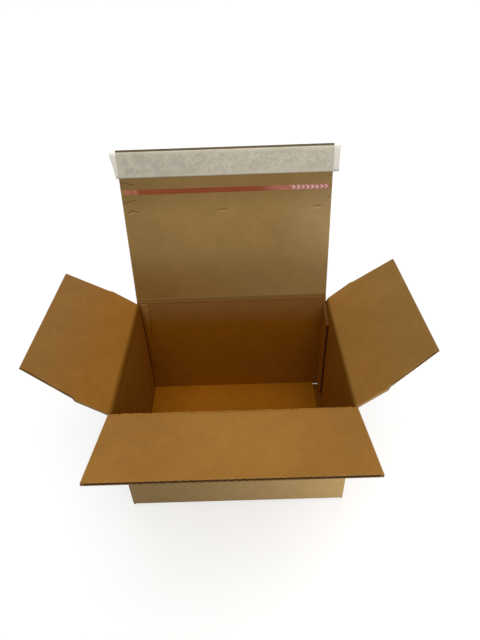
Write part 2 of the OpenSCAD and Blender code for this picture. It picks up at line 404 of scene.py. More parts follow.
# %% Group: place on the carcass
STEEP = 0.5
OUTWARD = 0.02
wall_place, start, end = new_group(
    "wall_place",
    [("Position", "Vector", None), ("Normal", "Vector", None), ("Side Ply", "Float", BOARD * 1.04),
     ("Half Width", "Float", 0.12), ("Half Depth", "Float", 0.09)],
    [("Board", "Vector"), ("Outer", "Float"), ("Cut", "Float"), ("Sloped", "Float")])
x, y, z = split(wall_place, start["Position"])
nx, ny, nz = split(wall_place, start["Normal"])
flat = calc(wall_place, "GREATER_THAN", size_of(wall_place, nz), STEEP)
side_wall = calc(wall_place, "GREATER_THAN", size_of(wall_place, nx), STEEP)
side_ply = times(wall_place, flat, calc(wall_place, "LESS_THAN", z, start["Side Ply"]))
turned = calc(wall_place, "MAXIMUM", side_wall, side_ply)
unturned = minus(wall_place, 1.0, turned)
upright = minus(wall_place, 1.0, flat)
across_x = times(wall_place, x, unturned)
across_y = times(wall_place, y, turned)
in_base = plus(wall_place, times(wall_place, y, unturned), times(wall_place, x, turned))
along_wall = times(wall_place, z, upright)
along_base = times(wall_place, in_base, flat)
feed(wall_place, end["Board"], join(wall_place, plus(wall_place, across_x, across_y),
                                    plus(wall_place, along_wall, along_base), turned))
away = plus(wall_place, times(wall_place, nx, x), times(wall_place, ny, y))
wall_out = times(wall_place, calc(wall_place, "GREATER_THAN", away, OUTWARD), upright)
base_out = calc(wall_place, "LESS_THAN", nz, -STEEP)
feed(wall_place, end["Outer"], calc(wall_place, "MAXIMUM", wall_out, base_out, clamp=True))
sloped = calc(wall_place, "COMPARE", size_of(wall_place, nz), 0.65, 0.3)


def inner_edge(coordinate, normal, half):
    faces = calc(wall_place, "GREATER_THAN", size_of(wall_place, normal), STEEP)
    return times(wall_place, faces,
                 calc(wall_place, "LESS_THAN", size_of(wall_place, coordinate), half))


edges = calc(wall_place, "MAXIMUM", inner_edge(x, nx, start["Half Width"]),
             inner_edge(y, ny, start["Half Depth"]))
feed(wall_place, end["Cut"], edges)
feed(wall_place, end["Sloped"], sloped)
print("group", wall_place.name, "with", len(wall_place.nodes), "nodes")

# %% [markdown]
# Kraft paper is brown because the pulp isn't bleached. Its long fibres lie mostly across the flutes, since
# that is how the paper runs through the corrugator. Three scales of detail make it look like paper:
# broad clouds where the pulp lay thicker, fibres a few millimetres long, and a few dark specks of bark.

# %% Group: kraft pulp
kraft_pulp, start, end = new_group(
    "kraft_pulp",
    [("Board", "Vector", None), ("Cloud Scale", "Float", 38.0), ("Fibre Scale", "Float", 420.0)],
    [("Cloud", "Float"), ("Fibre", "Float"), ("Speck", "Float")])
cloud = noise(kraft_pulp, start["Board"], start["Cloud Scale"], detail=4.0, roughness=0.55, distortion=0.6)
feed(kraft_pulp, end["Cloud"], step(kraft_pulp, cloud, 0.3, 0.7))
stretched = vector_calc(kraft_pulp, "MULTIPLY", start["Board"], (0.28, 1.0, 1.0))
crossed = vector_calc(kraft_pulp, "MULTIPLY", start["Board"], (1.0, 0.45, 1.0))
long_fibre = noise(kraft_pulp, stretched, start["Fibre Scale"], detail=5.0, roughness=0.65, distortion=1.5)
short_fibre = noise(kraft_pulp, crossed, times(kraft_pulp, start["Fibre Scale"], 1.7), detail=4.0,
                    roughness=0.6, distortion=2.0)
fibre = plus(kraft_pulp, times(kraft_pulp, long_fibre, 0.6),
             times(kraft_pulp, short_fibre, 0.4))
feed(kraft_pulp, end["Fibre"], step(kraft_pulp, fibre, 0.36, 0.64))
cells = kraft_pulp.nodes.new("ShaderNodeTexVoronoi")
feed(kraft_pulp, cells.inputs["Vector"], stretched)
cells.inputs["Scale"].default_value = 260.0
chance = split(kraft_pulp, cells.outputs["Color"])[0]
speck = times(kraft_pulp, step(kraft_pulp, cells.outputs["Distance"], 0.22, 0.08),
              calc(kraft_pulp, "GREATER_THAN", chance, 0.86))
feed(kraft_pulp, end["Speck"], speck)
print("group", kraft_pulp.name, "with", len(kraft_pulp.nodes), "nodes")

# %% [markdown]
# Facing paper sinks a little between the flute tips that carry it. On the outside of a box this shows as
# faint upright stripes, called washboarding. A sine wave of the flutes' pitch gives them, and noise makes
# some flutes stronger than others, as on real board.

# %% Group: washboard
washboard, start, end = new_group(
    "washboard", [("Board", "Vector", None), ("Pitch", "Float", PITCH)], [("Ridge", "Float")])
across_board, along_board = split(washboard, start["Board"])[:2]
drift = noise(washboard, join(washboard, across_board, times(washboard, along_board, 0.15)), 22.0)
phase = plus(washboard, calc(washboard, "DIVIDE", across_board, start["Pitch"]),
             times(washboard, drift, 0.35))
wave = calc(washboard, "COSINE", times(washboard, phase, math.tau))
strength = step(washboard, noise(washboard, start["Board"], 30.0), 0.3, 0.7, 0.45, 1.0)
ridge = calc(washboard, "MULTIPLY_ADD", times(washboard, wave, strength), 0.5, 0.5)
feed(washboard, end["Ridge"], ridge)
print("group", washboard.name, "with", len(washboard.nodes), "nodes")

# %% [markdown]
# A flap is handled by its edges, and they get rubbed. The group takes a flap's width and length and measures
# how far each point is from the nearest edge. For a dust flap the width shrinks in a step above its
# root and then in a taper. Noise breaks the border up, so the wear comes in patches. What lies between the
# facings and behind the cut edge is the inside of a flute, where hardly any light gets in.

# %% Group: edge wear
FACING = 0.0003
STEP_RUN = 0.006
edge_wear, start, end = new_group(
    "edge_wear",
    [("Board", "Vector", None), ("Half Width", "Float", 0.1), ("Length", "Float", 0.1),
     ("Root", "Float", 1.0), ("Step", "Float", 0.0), ("Taper", "Float", 0.0), ("Reach", "Float", 0.003)],
    [("Worn", "Float"), ("Hollow", "Float")])
across_board, along_board, depth = split(edge_wear, start["Board"])
above_root = step(edge_wear, along_board, start["Root"], plus(edge_wear, start["Root"], STEP_RUN))
taper_share = calc(edge_wear, "DIVIDE", minus(edge_wear, along_board, start["Root"]),
                   minus(edge_wear, start["Length"], start["Root"]), clamp=True)
narrowed = plus(edge_wear, times(edge_wear, above_root, start["Step"]),
                times(edge_wear, taper_share, start["Taper"]))
to_side = minus(edge_wear, minus(edge_wear, start["Half Width"], narrowed),
                size_of(edge_wear, across_board))
to_end = minus(edge_wear, start["Length"], along_board)
to_edge = calc(edge_wear, "MINIMUM", to_side, to_end)
patchy = step(edge_wear, noise(edge_wear, start["Board"], 160.0, detail=3.0), 0.35, 0.65, 0.2, 1.0)
worn_reach = times(edge_wear, start["Reach"], patchy)
feed(edge_wear, end["Worn"], step(edge_wear, to_edge, worn_reach, 0.0))
from_middle = size_of(edge_wear, minus(edge_wear, depth, BOARD / 2))
between = calc(edge_wear, "LESS_THAN", from_middle, BOARD / 2 - FACING)
behind = calc(edge_wear, "GREATER_THAN", to_edge, FACING)
feed(edge_wear, end["Hollow"], times(edge_wear, between, behind))
print("group", edge_wear.name, "with", len(edge_wear.nodes), "nodes")

# %% [markdown]
# ## Kraft board
# All board shares one recipe. The outer facing is paler and greyer than the inner one, because a better grade
# of paper goes on the outside. The groups' masks tint that base colour: clouds and fibres vary it a little,
# specks darken it, and rubbed edges are pale where they are scuffed. Cut edges are darker, because the
# open ends of the flutes swallow light. Clouds, fibres and washboard feed the bump too, so colour and
# relief agree.

# %% Recipe for a board material
# The inside of the carcass has a darker, redder tone than the flaps' inner facing: painted shade for the
# inside of the box.
SHADED_INNER_KRAFT = (0.276, 0.094, 0.004)
# The side walls' lighter tone is painted light.
SIDE_WALL_PAINTED_LIGHT = (0.362, 0.142, 0.010)
# The lowest ply's darker tone is painted shade, where it lies below the upper plies beside the side walls.
LOW_PLY_PAINTED_SHADE = (0.19, 0.062, 0.003)
# The paler tone near the rim is painted light, where light from the front reaches the top of the walls.
RIM_PAINTED_LIGHT = (0.325, 0.147, 0.038)
OUTER_KRAFT = (0.315, 0.212, 0.096)
CUT_KRAFT = (0.15, 0.088, 0.038)
FLUTE_DARK = (0.040, 0.017, 0.006)
SHADED_EDGE = (0.11, 0.030, 0.010)
RIDGE_RELIEF, FIBRE_RELIEF, CLOUD_RELIEF = 0.00005, 0.00003, 0.00006
BOARD_GLOSS, WALL_GLOSS = 0.16, 0.05


def tinted(colour, factor):
    return tuple(channel * factor for channel in colour)


def blend_value(tree, mask, a, b):
    return calc(tree, "MULTIPLY_ADD", mask, minus(tree, b, a), a)


def brightened(tree, colour, factor):
    node = tree.nodes.new("ShaderNodeVectorMath")
    node.operation = "SCALE"
    feed(tree, node.inputs["Vector"], colour)
    feed(tree, node.inputs["Scale"], factor)
    return node.outputs["Vector"]


def start_material(name):
    material = bpy.data.materials.new(name)
    material.use_nodes = True
    tree = material.node_tree
    tree.nodes.clear()
    shader = tree.nodes.new("ShaderNodeBsdfPrincipled")
    tree.links.new(shader.outputs[0], tree.nodes.new("ShaderNodeOutputMaterial").inputs["Surface"])
    return material, tree, shader


def kraft_finish(tree, shader, board, outer_mask, cut_mask, inner, outer, cut, worn=0.0, hollow=0.0):
    pulp = place_group(tree, kraft_pulp, board=board)
    ridges = place_group(tree, washboard, board=board)["Ridge"]
    clouded = step(tree, pulp["Cloud"], 0.0, 1.0, 0.965, 1.035)
    inner_tone = brightened(tree, inner, clouded)
    outer_tone = blend_colour(tree, pulp["Cloud"], tinted(outer, 0.96), tinted(outer, 1.04))
    striped = blend_colour(tree, times(tree, ridges, 0.3), outer_tone, tinted(outer, 1.08))
    faced = blend_colour(tree, outer_mask, inner_tone, striped)
    cut_tone = blend_colour(tree, pulp["Fibre"], tinted(cut, 0.8), tinted(cut, 1.25))
    edged = blend_colour(tree, cut_mask, faced, cut_tone)
    based = blend_colour(tree, hollow, edged, FLUTE_DARK)
    fibred = brightened(tree, based, step(tree, pulp["Fibre"], 0.0, 1.0, 0.96, 1.04))
    specked = brightened(tree, fibred, step(tree, pulp["Speck"], 0.0, 1.0, 1.0, 0.85))
    scuffed = brightened(tree, specked, step(tree, worn, 0.0, 1.0, 1.0, 1.14))
    tree.links.new(scuffed, shader.inputs["Base Color"])
    tree.links.new(step(tree, pulp["Fibre"], 0.0, 1.0, 0.93, 0.80), shader.inputs["Roughness"])
    shader.inputs["Specular IOR Level"].default_value = BOARD_GLOSS
    relief = plus(tree, times(tree, ridges, RIDGE_RELIEF),
                  times(tree, pulp["Fibre"], FIBRE_RELIEF))
    return plus(tree, relief, times(tree, pulp["Cloud"], CLOUD_RELIEF))


def add_relief(tree, shader, height, strength=0.8):
    bump = tree.nodes.new("ShaderNodeBump")
    bump.inputs["Strength"].default_value = strength
    bump.inputs["Distance"].default_value = 1.0
    tree.links.new(height, bump.inputs["Height"])
    tree.links.new(bump.outputs["Normal"], shader.inputs["Normal"])


print("inner facing", SHADED_INNER_KRAFT, "outer facing", OUTER_KRAFT)


# %% Dress a CAD node in a material
def dress(name, material):
    node = frame["nodes"][name]
    node.data.materials.clear()
    node.data.materials.append(material)
    print(name, "wears", material.name)


# %% [markdown]
# Inside, the carcass has a darker, redder tone than the flaps': painted shade for the inside of the box. The
# front and back walls are paler near the rim, painted light where light from the front reaches their top.
# They are a little brighter low down, as their plies of the base are, most of all on its left: painted light
# too. The side walls have a lighter tone, painted light, and their ply of the base, the lowest, a darker one,
# painted shade. Outside, the board is a little darker on the left than on the right: painted light from the
# right.

# %% Kraft board on the carcass
RIM_LOW, RIM_HIGH = 0.120, 0.165
# Painted light: the walls are brighter low down and the base brighter still, most of all on its left.
NEAR_BASE = (0.055, 0.015, 1.0, 1.10)
BASE_LEFT = (0.02, -0.10, 1.0)
BASE_LEFT_FACTOR = 1.12
# Outside, painted light from the right: the board is darker on the left and brighter on the right.
OUTER_LEFT_TO_RIGHT = (-0.125, 0.03, 0.88, 1.07)
RAMP_HOLLOW = 0.45
material, tree, shader = start_material("kraft_carcass")
coords = tree.nodes.new("ShaderNodeTexCoord").outputs
carcass_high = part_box("carcass")[1]
place = place_group(tree, wall_place, position=coords["Object"], normal=coords["Normal"],
                    half_width=carcass_high[0] - 3 * BOARD, half_depth=carcass_high[1] - 3 * BOARD)
x, y, z = split(tree, coords["Object"])
# Painted light: the inner walls turn paler towards the rim.
painted_rim_light = step(tree, z, RIM_LOW, RIM_HIGH)
turned = split(tree, place["Board"])[2]
upright = calc(tree, "LESS_THAN", size_of(tree, split(tree, coords["Normal"])[2]), STEEP)
inner = blend_colour(tree, painted_rim_light, SHADED_INNER_KRAFT, RIM_PAINTED_LIGHT)
# Painted light low down on the walls and on the base, and more on the base's left.
inner = brightened(tree, inner, step(tree, z, *NEAR_BASE))
on_base = blend_value(tree, upright, BASE_LEFT_FACTOR, 1.0)
inner = brightened(tree, inner, step(tree, x, *BASE_LEFT, on_base))
# The side walls get their lighter tone as painted light, and the lowest ply its darker one as painted shade.
inner = blend_colour(tree, turned, inner, blend_colour(tree, upright, LOW_PLY_PAINTED_SHADE, SIDE_WALL_PAINTED_LIGHT))
height = kraft_finish(tree, shader, place["Board"], place["Outer"], place["Cut"], inner, OUTER_KRAFT,
                      SHADED_EDGE, hollow=times(tree, place["Sloped"], RAMP_HOLLOW))
toned = shader.inputs["Base Color"].links[0].from_socket
# Painted light from the right on the outer faces, darker on the left.
painted_light_left_to_right = step(tree, x, *OUTER_LEFT_TO_RIGHT)
tree.links.new(brightened(tree, toned, blend_value(tree, place["Outer"], 1.0, painted_light_left_to_right)),
               shader.inputs["Base Color"])
shader.inputs["Specular IOR Level"].default_value = WALL_GLOSS
add_relief(tree, shader, height)
dress("carcass", material)

# %% [markdown]
# ## The flaps
# A flap's material is the same recipe with the flap's own frame and size. The dust flaps also have a step and
# a taper, which the wear follows. The lid carries three small press marks in a row, each a dent with a dark
# line of painted shade where the paper gave way and a painted highlight on the lip below it. The left one is
# a peak of two short strokes.

# %% Group: press mark
SOFT_END = 0.55
LIP_OFFSET, LIP_WIDTH = 2.6, 2.2
press_mark, start, end = new_group(
    "press_mark",
    [("Board", "Vector", None), ("Across", "Float", 0.0), ("Along", "Float", 0.1),
     ("Half Width", "Float", 0.0035), ("Sag", "Float", 0.0009), ("Slope", "Float", 0.0),
     ("Line", "Float", 0.0010)],
    [("Dark", "Float"), ("Light", "Float")])
across_board, along_board, depth = split(press_mark, start["Board"])
aside = minus(press_mark, across_board, start["Across"])
share = calc(press_mark, "DIVIDE", aside, start["Half Width"])
on_inner_face = calc(press_mark, "GREATER_THAN", depth, BOARD / 2)
inside = times(press_mark, on_inner_face,
               step(press_mark, size_of(press_mark, share), 1.0, SOFT_END))
drop = times(press_mark, start["Sag"], times(press_mark, share, share))
level = calc(press_mark, "MULTIPLY_ADD", aside, start["Slope"], start["Along"])
off_arch = plus(press_mark, minus(press_mark, along_board, level), drop)
dark = step(press_mark, size_of(press_mark, off_arch), start["Line"], 0.0)
below = calc(press_mark, "MULTIPLY_ADD", start["Line"], LIP_OFFSET, off_arch)
light = step(press_mark, size_of(press_mark, below),
             times(press_mark, start["Line"], LIP_WIDTH), 0.0)
feed(press_mark, end["Dark"], times(press_mark, dark, inside))
feed(press_mark, end["Light"], times(press_mark, light, inside))
print("group", press_mark.name, "with", len(press_mark.nodes), "nodes")

# %% Sizes and tones of the flaps
LID_L = 0.196
DUST_FLAP = {"length": 0.101, "root": 0.0385, "step": 0.00225, "taper": 0.00925}
FLAP_SIZES = {"front_flap": {"length": 0.101}, "left_flap": DUST_FLAP, "right_flap": DUST_FLAP,
              "lid": {"length": LID_L}}
# The flaps are one inner facing. Their different tones, and the change from root to tip, are painted light
# and shade for how the light falls on each flap.
FLAP_TONES_WITH_PAINTED_LIGHT = {
    "front_flap": ((0.328, 0.153, 0.029), (0.338, 0.158, 0.029)),
    "left_flap": ((0.327, 0.139, 0.018), (0.305, 0.145, 0.034)),
    "right_flap": ((0.332, 0.158, 0.031), (0.309, 0.160, 0.039)),
    "lid": ((0.366, 0.230, 0.079), (0.366, 0.230, 0.079)),
}
DUST_CUT = ((0.23, 0.145, 0.06), 0.35)
CUT_TONES = {"front_flap": (CUT_KRAFT, 0.9), "left_flap": DUST_CUT, "right_flap": DUST_CUT,
             "lid": ((0.12, 0.09, 0.05), 1.0)}
# A painted pool of light brightens the middle of the front flap.
FRONT_LIGHT_PATCH = ((0.015, 0.02), (0.125, 0.13))
# A painted sheen makes the lid paler and greyer on its right.
LID_LIGHT_PATCH = ((0.132, 0.105), (0.085, 0.100))
LID_LIGHT_PATCH_TONE = (0.50, 0.355, 0.170)
# Painted light and shade on the lid: brighter from a few centimetres up, darker towards its top and towards
# its left.
LID_LIGHT_AND_SHADE_BANDS = (("along", 0.03, 0.08, 1.16), ("along", 0.11, 0.16, 0.73), ("across", -0.05, -0.12, 0.90))
# Painted bounce light and shade: the lid's low left turns darker and more orange.
LID_PAINTED_BOUNCE = (0.84, 0.66, 0.44)
# The strip at the lid's top end, above the paper, is darker olive: partly crushed board and partly painted
# shade.
LID_END_TONE = (0.16, 0.125, 0.072)
print("tones ready for", ", ".join(FLAP_TONES_WITH_PAINTED_LIGHT))


# %% Patches and bands of tone on a flap
def patch(tree, board, centre, radii):
    offset = vector_calc(tree, "SUBTRACT", board, (*centre, 0.0))
    scaled = vector_calc(tree, "MULTIPLY", offset, (1 / radii[0], 1 / radii[1], 0.0))
    return step(tree, vector_calc(tree, "LENGTH", scaled, output="Value"), 1.0, 0.0)


def flap_tone(tree, board, name):
    across_board, along_board = split(tree, board)[:2]
    low, high = FLAP_TONES_WITH_PAINTED_LIGHT[name]
    toned = blend_colour(tree, step(tree, along_board, 0.02, 0.09), low, high)
    if name == "front_flap":
        # Painted light: the middle of the front flap is brightened.
        middle = patch(tree, board, *FRONT_LIGHT_PATCH)
        return brightened(tree, toned, step(tree, middle, 0.0, 1.0, 1.0, 1.22))
    if name != "lid":
        return toned
    # Painted sheen on the lid's right.
    pale = times(tree, patch(tree, board, *LID_LIGHT_PATCH), 0.75)
    toned = blend_colour(tree, pale, toned, LID_LIGHT_PATCH_TONE)
    # Painted light and shade in bands across the lid.
    for measure, band_from, band_to, factor in LID_LIGHT_AND_SHADE_BANDS:
        value = along_board if measure == "along" else across_board
        toned = brightened(tree, toned, step(tree, value, band_from, band_to, 1.0, factor))
    # Painted orange bounce light and shade low on the lid's left.
    painted_bounce = times(tree, step(tree, along_board, 0.075, 0.0), step(tree, across_board, 0.11, -0.11))
    toned = blend_colour(tree, painted_bounce, toned, LID_PAINTED_BOUNCE, "MULTIPLY")
    # The top end strip is darkened: crushed board and painted shade.
    at_end = step(tree, along_board, LID_L - 0.0023, LID_L - 0.0017, 0.0, 0.85)
    return blend_colour(tree, at_end, toned, LID_END_TONE)


print("helpers ready: patch, flap_tone")


# %% Kraft board on the flaps
def lay_on_flap(tree, name):
    coords = tree.nodes.new("ShaderNodeTexCoord").outputs
    own = flap_frames[name]
    return place_group(tree, flap_place, position=coords["Object"], normal=coords["Normal"],
                       origin=own["origin"], across=own["across"], along=own["along"], inward=own["inward"])


def flap_material(name):
    material, tree, shader = start_material("kraft_" + name)
    place = lay_on_flap(tree, name)
    wear = place_group(tree, edge_wear, board=place["Board"], half_width=flap_frames[name]["width"] / 2,
                       **FLAP_SIZES[name])
    inner = flap_tone(tree, place["Board"], name)
    cut, hollow_share = CUT_TONES[name]
    hollow = times(tree, wear["Hollow"], hollow_share)
    height = kraft_finish(tree, shader, place["Board"], place["Outer"], place["Cut"],
                          inner, OUTER_KRAFT, cut, wear["Worn"], hollow)
    return material, tree, shader, place["Board"], height


# %% Press marks on the lid: across, along, half width, sag and slope of each stroke
LID_MARKS = ((-0.1192, 0.1234, 0.0040, 0.0, 0.35), (-0.1140, 0.1238, 0.0044, 0.0, -0.30),
             (-0.0050, 0.1230, 0.0064, 0.0010, 0.0), (0.1108, 0.1236, 0.0068, 0.0004, 0.10))
MARK_DEPTH = 0.0004


def add_press_marks(tree, shader, board, height):
    colour = shader.inputs["Base Color"].links[0].from_socket
    for across, along, half_width, sag, slope in LID_MARKS:
        mark = place_group(tree, press_mark, board=board, across=across, along=along,
                           half_width=half_width, sag=sag, slope=slope)
        # The dark line is painted shade in the dent, and the bright lip below it a painted highlight.
        colour = brightened(tree, colour, step(tree, mark["Dark"], 0.0, 1.0, 1.0, 0.40))
        colour = brightened(tree, colour, step(tree, mark["Light"], 0.0, 1.0, 1.0, 1.20))
        height = calc(tree, "MULTIPLY_ADD", mark["Dark"], -MARK_DEPTH, height)
    tree.links.new(colour, shader.inputs["Base Color"])
    return height


for name in ("front_flap", "left_flap", "right_flap", "lid"):
    material, tree, shader, board, height = flap_material(name)
    if name == "lid":
        height = add_press_marks(tree, shader, board, height)
    add_relief(tree, shader, height)
    dress(name, material)

# %% [markdown]
# ## The creases
# A crease is a line where the board was crushed so that it folds. The solids leave a bevelled notch there, so
# that a flap can close. On the real box the facings run on across it, and between them the crushed flutes
# fill the notch. Each crease is one closed web. Its inner side is a curve from the wall's inner face to
# the flap's, and its outer side follows the outer facing. Along its length it swells and sinks a little with
# the flutes that were crushed in it.

# %% Section of a crease, as distances inward and up from the fold's axis
WEB_PROUD = 0.00004
WEB_RUN_ON = 0.0004
BEVEL_SLACK = 0.0003
SKIN_INSET = 0.00005
SKIN_UPS = (0.0006, 0.0002)


def turned_out(point, lean):
    inward, up = point
    return (inward * math.cos(lean) - up * math.sin(lean), inward * math.sin(lean) + up * math.cos(lean))


def curve_point(points, t):
    a, b, c, d = (Vector(p) for p in points)
    s = 1 - t
    return a * s ** 3 + b * (3 * s * s * t) + c * (3 * s * t * t) + d * t ** 3


def crease_section(lean, fullness, dip, steps=14):
    face = AXIS_OUT + BOARD + WEB_PROUD
    bevel = BOARD + BEVEL_SLACK
    low, high = (face, -bevel), turned_out((face, bevel), lean)
    low_pull, high_pull = (face, -bevel + fullness), turned_out((face, bevel - fullness), lean)
    inner = [Vector((face, -bevel - WEB_RUN_ON))]
    for k in range(steps + 1):
        t = k / steps
        point = curve_point((low, low_pull, high_pull, high), t)
        groove = dip * math.exp(-((t - 0.5) / 0.17) ** 2)
        inward = Vector((math.cos(lean / 2), math.sin(lean / 2)))
        inner.append(point - inward * groove)
    inner.append(Vector(turned_out((face, bevel + WEB_RUN_ON), lean)))
    skin = AXIS_OUT - SKIN_INSET
    outer = [Vector(turned_out((skin, up), lean)) for up in SKIN_UPS]
    outer += [Vector((skin, -up)) for up in reversed(SKIN_UPS)]
    return inner, outer


section = crease_section(flap_frames["lid"]["lean"], 0.002, 0.001)
print("a crease has", len(section[0]), "points inside and", len(section[1]), "outside")


# %% Close a mesh and put it in the scene
def add_piece(name, bm):
    bmesh.ops.recalc_face_normals(bm, faces=bm.faces)
    mesh = bpy.data.meshes.new(name)
    bm.to_mesh(mesh)
    bm.free()
    piece = bpy.data.objects.new(name, mesh)
    bpy.context.scene.collection.objects.link(piece)
    print(name, "has", len(mesh.polygons), "faces")
    return piece


# %% Sweep the section along a crease
def crease_piece(name, flap, fullness, dip, ripple, ragged, seed):
    own = flap_frames[flap]
    draw = random.Random(seed)
    inner, outer = crease_section(own["lean"], fullness, dip)
    ring = inner + outer
    half = own["width"] / 2 + 0.00005
    stations = int(own["width"] / PITCH) * 6
    rough = [draw.gauss(0, 1) for _ in range(stations + 1)]
    bm = bmesh.new()
    uv = bm.loops.layers.uv.new("board")
    rings = []
    for s in range(stations + 1):
        a = -half + 2 * half * s / stations
        swell = ripple * math.cos(math.tau * a / PITCH)
        swell += ragged * (0.5 * rough[s] + 0.5 * rough[(s // 5) * 5])
        row = []
        for k, point in enumerate(ring):
            lift = 0.0
            if 0 < k < len(inner) - 1:
                lift = swell * math.sin(math.pi * k / (len(inner) - 1)) ** 1.2
            reach = point.length + lift
            inward, up = point.normalized() * reach
            place = own["hinge"] - own["across"] * own["across"].dot(own["hinge"])
            place = place + own["across"] * (own["middle"] + a) - own["out"] * inward + Vector((0, 0, up))
            row.append(bm.verts.new(place))
        rings.append(row)
    travel = [0.0]
    for k in range(1, len(ring)):
        travel.append(travel[-1] + (ring[k] - ring[k - 1]).length)
    count = len(ring)
    for s in range(stations):
        for k in range(count):
            nxt = (k + 1) % count
            face = bm.faces.new((rings[s][k], rings[s][nxt], rings[s + 1][nxt], rings[s + 1][k]))
            face.material_index = 0 if k < len(inner) - 1 else 1
            face.smooth = k < len(inner) - 1
            spots = ((s, k), (s, k + 1), (s + 1, k + 1), (s + 1, k))
            for loop, (station, place_k) in zip(face.loops, spots):
                v = travel[place_k] if place_k < count else travel[-1] + BOARD
                loop[uv].uv = (-half + 2 * half * station / stations, v)
    for row in (rings[0], rings[-1]):
        bm.faces.new(row).material_index = 1
    piece = add_piece(name, bm)
    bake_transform(piece)
    return piece, travel[len(inner) - 1]


# %% [markdown]
# A crease takes the wall's tone below the fold and the flap's above it, with a border that wanders a little.
# Along the border the fibres are broken open, and the paper there is brighter, partly rubbed paper and partly
# a
# painted highlight, most of all on the front crease. The flap's side of the web is scaled by a shade factor:
# painted shade in the lid's groove and on the side creases, and a painted highlight on the front crease. On
# the side creases the wall's tone is darkened with painted shade, so that the curved web doesn't stand out
# brighter than the wall. The web carries its own measures in a UV map, in metres, so its grain stays put when
# the fold bends.

# %% Materials for the creases
def crease_material(name, reach, wall_tone, flap_tone, rub_and_highlight, turn, shade):
    material, tree, shader = start_material(name)
    uv = tree.nodes.new("ShaderNodeUVMap")
    uv.uv_map = "board"
    board = uv.outputs[0]
    pulp = place_group(tree, kraft_pulp, board=board, fibre_scale=520.0)
    broken = step(tree, noise(tree, board, 420.0, detail=4.0, distortion=1.0), 0.42, 0.68)
    wander = noise(tree, board, 160.0, detail=3.0)
    up_crease = calc(tree, "MULTIPLY_ADD", wander, 0.0024, split(tree, board)[1])
    share = step(tree, up_crease, turn * reach + 0.0008, turn * reach + 0.0016)
    toned = blend_colour(tree, share, wall_tone, tinted(flap_tone, shade))
    toned = blend_colour(tree, step(tree, up_crease, 0.70 * reach + 0.0012, reach + 0.0006), toned, flap_tone)
    fibred = brightened(tree, toned, step(tree, pulp["Fibre"], 0.0, 1.0, 0.95, 1.05))
    near_fold = size_of(tree, minus(tree, up_crease, turn * reach + 0.0020))
    on_fold = times(tree, broken, step(tree, near_fold, 0.0022, 0.0004))
    # Brighter along the fold: partly rubbed paper, partly a painted highlight.
    rubbed_and_lit = brightened(tree, fibred, step(tree, on_fold, 0.0, 1.0, 1.0, 1.0 + rub_and_highlight))
    tree.links.new(rubbed_and_lit, shader.inputs["Base Color"])
    tree.links.new(step(tree, broken, 0.0, 1.0, 0.86, 0.95), shader.inputs["Roughness"])
    shader.inputs["Specular IOR Level"].default_value = 0.08
    relief = plus(tree, times(tree, pulp["Fibre"], 0.00006),
                  times(tree, broken, 0.00010))
    add_relief(tree, shader, relief)
    return material


# The lid's fold tone carries the painted bounce light of its low left side. The side folds take the side
# walls' tone darkened as painted shade.
LID_FOLD = (0.338, 0.192, 0.055)
SIDE_FOLD = tinted(SIDE_WALL_PAINTED_LIGHT, 0.62)
# For each crease: its flap; its fullness, dip, ripple, raggedness and seed; the wall's and the flap's tones,
# how bright the rubbed fold is, partly as a painted highlight, where on the web the tone turns, and the flap
# side's painted shade, which on the front crease is above 1 and so a painted highlight.
CREASES = {
    "lid_crease": ("lid", (0.0012, 0.00012, 0.00003, 0.00002, 11), (RIM_PAINTED_LIGHT, LID_FOLD, 0.16, 0.36, 0.82)),
    "front_crease": ("front_flap", (0.0042, 0.0, 0.00020, 0.00030, 12),
                     (SHADED_INNER_KRAFT, FLAP_TONES_WITH_PAINTED_LIGHT["front_flap"][0], 0.55, 0.40, 1.18)),
    "left_crease": ("left_flap", (0.0020, 0.0, 0.00006, 0.00012, 13),
                    (SIDE_FOLD, FLAP_TONES_WITH_PAINTED_LIGHT["left_flap"][0], 0.03, 0.56, 0.90)),
    "right_crease": ("right_flap", (0.0020, 0.0, 0.00006, 0.00012, 14),
                     (SIDE_FOLD, FLAP_TONES_WITH_PAINTED_LIGHT["right_flap"][0], 0.03, 0.56, 0.90)),
}
outer_crease = crease_material("crushed_outer", 0.01, OUTER_KRAFT, OUTER_KRAFT, 0.1, 0.5, 1.0)
for name, (flap, form, finish) in CREASES.items():
    piece, reach = crease_piece(name, flap, *form)
    piece.data.materials.append(crease_material("crushed_" + name, reach, *finish))
    piece.data.materials.append(outer_crease)
print("creases dressed:", ", ".join(CREASES))

# %% [markdown]
# ## The back left corner
# Where the sheet turns a corner, the inner facing has too much paper, and it puffs up beside the crease. At
# the back left corner that shows as a soft ridge down the back wall, widest near the top and gone at the
# base. It is a thin closed sliver that lies on the wall. Its section is a low hump, and the ridge's
# distance from the corner is given at a few heights and runs smoothly between them. Above the underside
# of the shut dust flap the ridge is nearly flat, so that the flap clears it.

# %% Raise the ridge beside the corner
RIDGE = ((0.010, 0.0004), (0.028, 0.0015), (0.059, 0.0068), (0.081, 0.0088), (0.094, 0.0080), (0.111, 0.0076),
         (0.129, 0.0092), (0.145, 0.0102), (0.1655, 0.0086))
RIDGE_LIFT = 0.0020
RIDGE_SOFT = 0.006
RIDGE_ROUGH = 0.00012
RIDGE_BEDDED = 0.0004
FLAT_SHARE = 0.12
FLAP_UNDERSIDE = flap_frames["left_flap"]["hinge"].z - AXIS_OUT - BOARD
HUMP = ((0.0, 0.10), (0.35, 0.34), (0.72, 0.80), (0.92, 1.0), (1.04, 0.94), (1.20, 0.45), (1.36, -0.15))
WALL_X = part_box("carcass")[0][0] + BOARD
WALL_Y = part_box("carcass")[1][1] - BOARD


